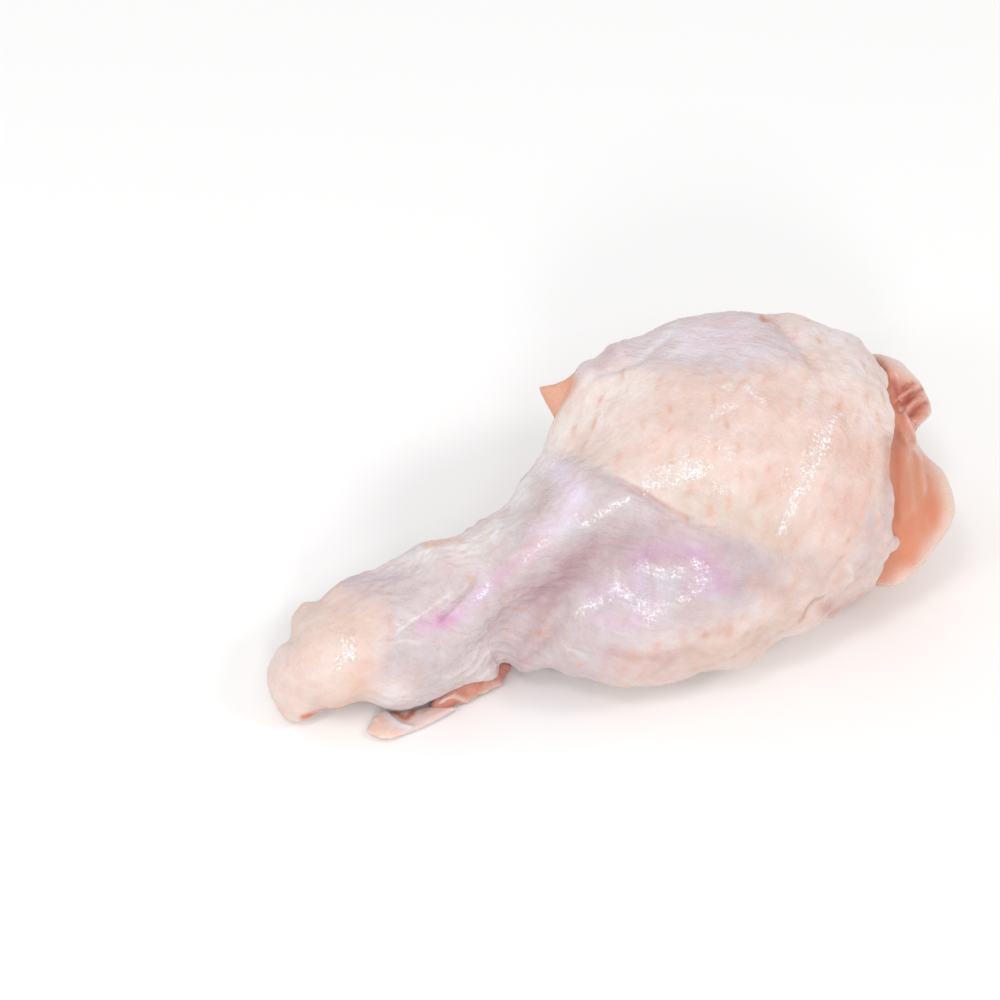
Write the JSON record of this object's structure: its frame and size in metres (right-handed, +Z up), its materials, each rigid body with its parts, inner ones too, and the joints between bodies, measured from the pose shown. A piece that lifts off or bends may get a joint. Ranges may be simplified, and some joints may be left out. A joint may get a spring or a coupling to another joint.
{
  "type": "raw chicken wing drumette",
  "caption": "Raw chicken drumette lying on its side: a loose skin sleeve with a thick feathered pad, narrow shank and knuckle, and meat bulging from its cut shoulder end.",
  "frame": {"origin": "middle of the underside of the whole drumette, on the surface it lies on", "axes": "+X from the elbow knuckle to the shoulder end, +Y to the back, +Z up"},
  "size_m": [0.1048, 0.0486, 0.0412],
  "materials": {
    "skin": "wet, pale peach with follicle bumps, thin and lilac grey over the shank, satin to glossy",
    "meat": "wet, smooth orange pink with a pale film of fat",
    "dark_meat": "wet, ragged dark red",
    "tissue": "moist, pale pink white tissue"
  },
  "bodies": {
    "root": {"skin": "skin", "meat": "meat", "elbow_meat": "dark_meat", "tissue_strip": "tissue"}
  },
  "joints": []
}
